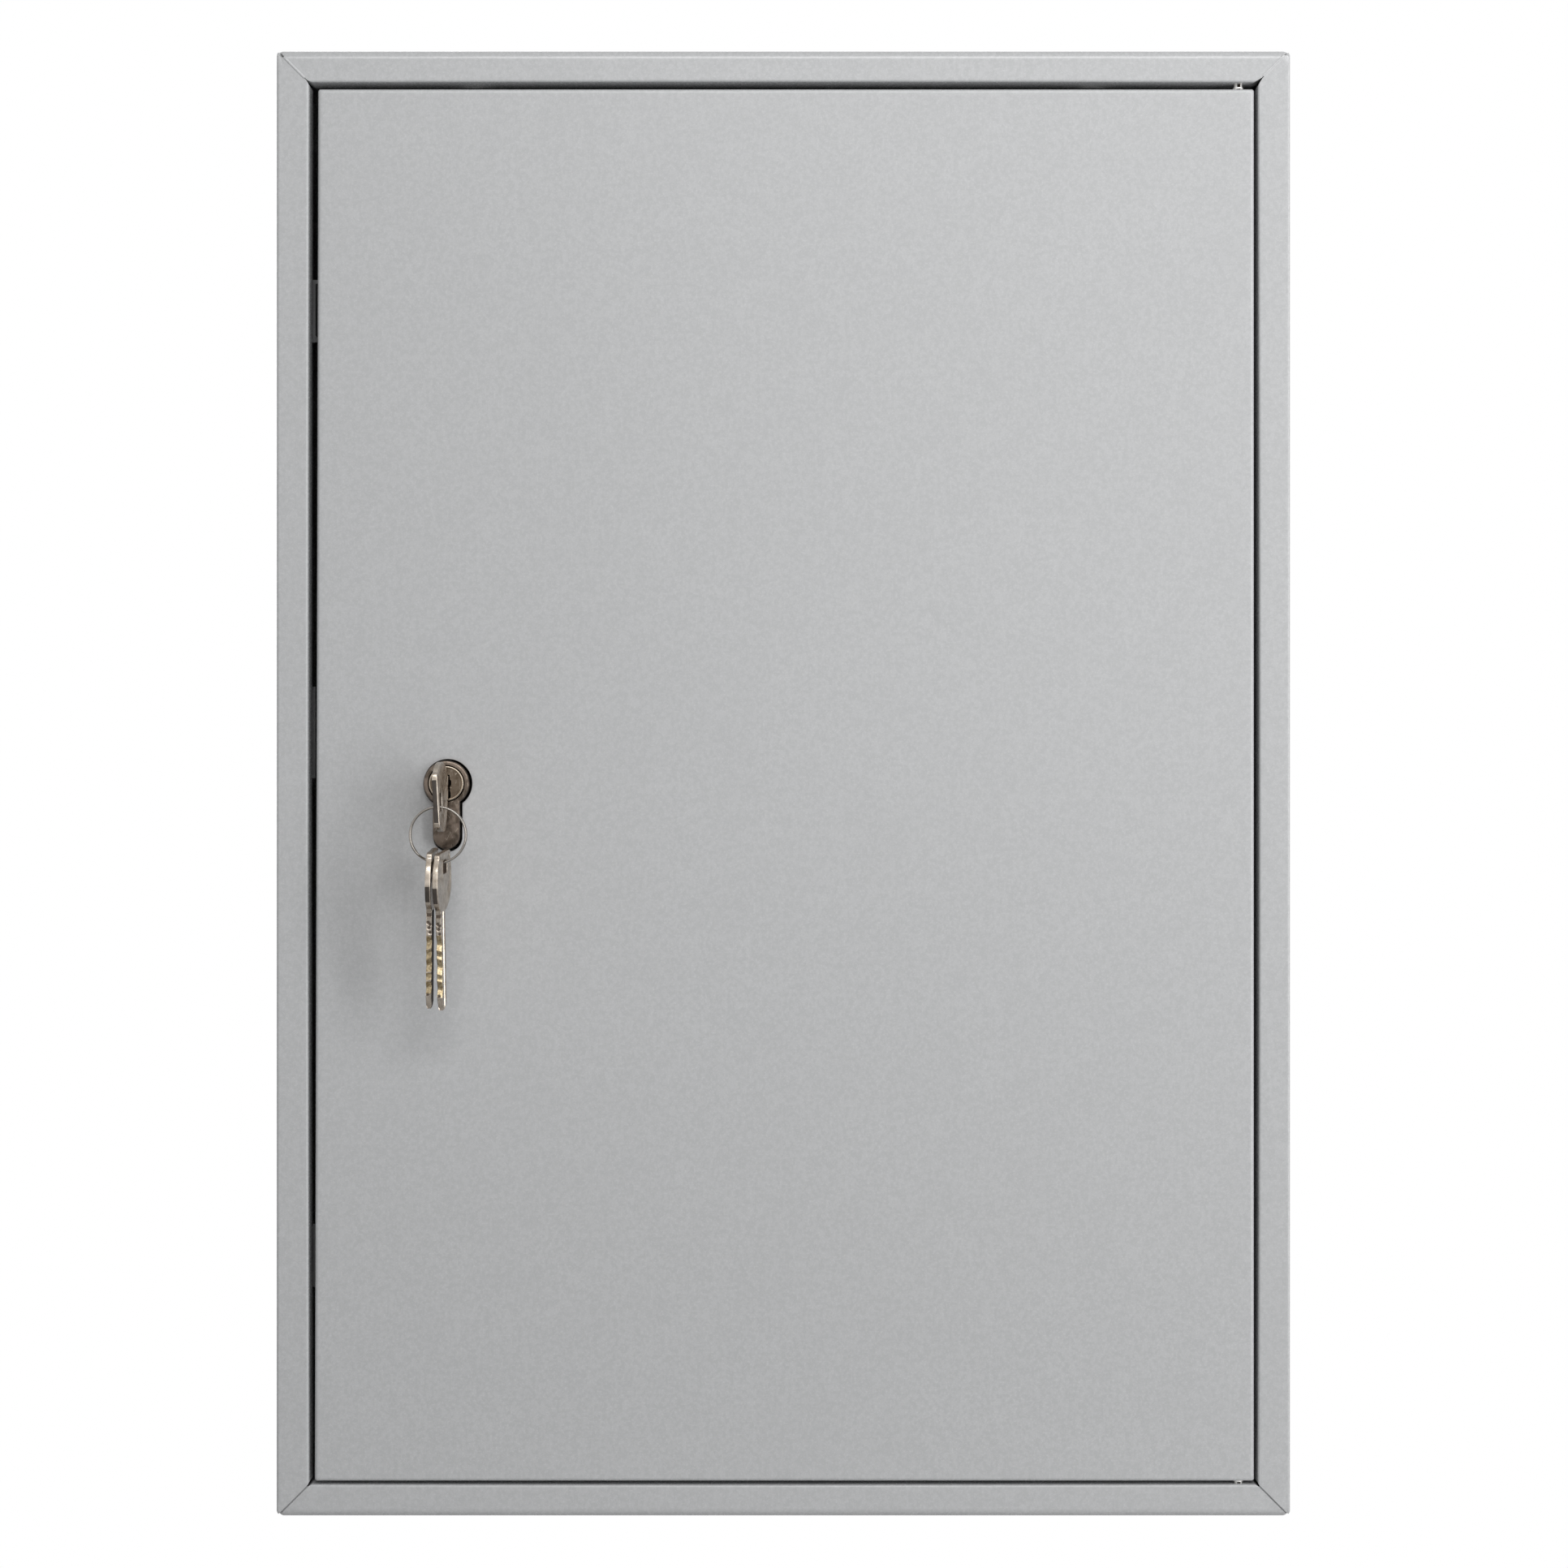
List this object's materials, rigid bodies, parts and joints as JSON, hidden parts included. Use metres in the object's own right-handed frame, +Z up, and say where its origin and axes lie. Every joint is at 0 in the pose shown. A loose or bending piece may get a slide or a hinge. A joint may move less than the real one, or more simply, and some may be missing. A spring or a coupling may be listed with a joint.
{
  "type": "key cabinet",
  "caption": "Wall-hung sheet-steel key cabinet with a hinged inset door, a profile cylinder lock, its key with spare keys on a split ring, and rows of key hooks inside.",
  "frame": {"origin": "centre of the back panel's rear face, on the wall", "axes": "+Z up, +Y into the wall, +X to the right seen from the front"},
  "size_m": [0.38, 0.1748, 0.55],
  "materials": {
    "powder_coat": "light grey powder coat, matt with a fine orange peel",
    "zinc_plate": "bright zinc plate",
    "bright_steel": "bright turned steel",
    "lock_nickel": "satin nickel plate on brass",
    "key_nickel": "nickel plate on brass with bare brass cuts",
    "ring_steel": "nickel-plated spring steel",
    "buffer_rubber": "black moulded rubber",
    "number_card": "white printed plastic strip"
  },
  "bodies": {
    "cabinet": {"side_left": "powder_coat", "side_right": "powder_coat", "top_panel": "powder_coat", "bottom_panel": "powder_coat", "back_panel": "powder_coat", "hinge_pin_top": "bright_steel", "hinge_pin_bottom": "bright_steel", "rail_left": "zinc_plate", "rail_right": "zinc_plate", "strike_bracket": "powder_coat", "door_stop_upper": "powder_coat", "door_stop_lower": "powder_coat", "stop_buffer_upper": "buffer_rubber", "stop_buffer_lower": "buffer_rubber", "hook_bar_1": "zinc_plate", "hook_bar_2": "zinc_plate", "hook_bar_3": "zinc_plate", "hook_bar_4": "zinc_plate", "hook_bar_5": "zinc_plate", "hook_bar_6": "zinc_plate", "hook_bar_7": "zinc_plate", "hook_bar_8": "zinc_plate", "number_strip_1": "number_card", "number_strip_2": "number_card", "number_strip_3": "number_card", "number_strip_4": "number_card", "number_strip_5": "number_card", "number_strip_6": "number_card", "number_strip_7": "number_card", "number_strip_8": "number_card"},
    "door": {"door_panel": "powder_coat", "lock_case": "zinc_plate", "cylinder_body": "lock_nickel", "cylinder_screw": "bright_steel", "bolt_guide_1": "bright_steel", "bolt_guide_2": "bright_steel", "case_stud_1": "bright_steel", "case_stud_2": "bright_steel", "case_stud_3": "bright_steel", "case_stud_4": "bright_steel", "case_nut_1": "bright_steel", "case_nut_2": "bright_steel", "case_nut_3": "bright_steel", "case_nut_4": "bright_steel"},
    "plug": {"cylinder_plug": "lock_nickel", "cylinder_cam": "bright_steel", "plug_circlip": "bright_steel"},
    "bolt": {"lock_bolt": "zinc_plate"},
    "key": {"key_in_lock": "key_nickel"},
    "ring": {"key_ring": "ring_steel"},
    "spare_1": {"spare_key_1": "key_nickel"},
    "spare_2": {"spare_key_2": "key_nickel"}
  },
  "joints": [
    {"name": "door_swing", "type": "hinge", "parent": "cabinet", "child": "door", "pos_m": [0.1709, -0.1365, 0], "axis": [0, 0, 1], "range_deg": [0, 120]},
    {"name": "key_turn", "type": "hinge", "parent": "door", "child": "plug", "pos_m": [-0.126, -0.143, 0], "axis": [0, -1, 0], "range_deg": [0, 90]},
    {"name": "bolt_throw", "type": "slide", "parent": "door", "child": "bolt", "axis": [-1, 0, 0], "range_m": [0, 0.0176]},
    {"name": "key_withdraw", "type": "slide", "parent": "plug", "child": "key", "axis": [0, -1, 0], "range_m": [0, 0.036]},
    {"name": "ring_swing", "type": "hinge", "parent": "key", "child": "ring", "pos_m": [-0.126, -0.1611, -0.00865], "axis": [-1, 0, 0], "range_deg": [-6, 70]},
    {"name": "spare_1_swing", "type": "hinge", "parent": "ring", "child": "spare_1", "pos_m": [-0.129, -0.1611, -0.0287], "axis": [-1, 0, 0], "range_deg": [-6, 20]},
    {"name": "spare_2_swing", "type": "hinge", "parent": "ring", "child": "spare_2", "pos_m": [-0.1253, -0.1611, -0.02913], "axis": [-0.9962, 0.0872, 0], "range_deg": [-6, 20]}
  ],
  "couplings": [
    {"joint": "bolt_throw", "follows": "key_turn", "m_per_rad": 0.0112}
  ]
}
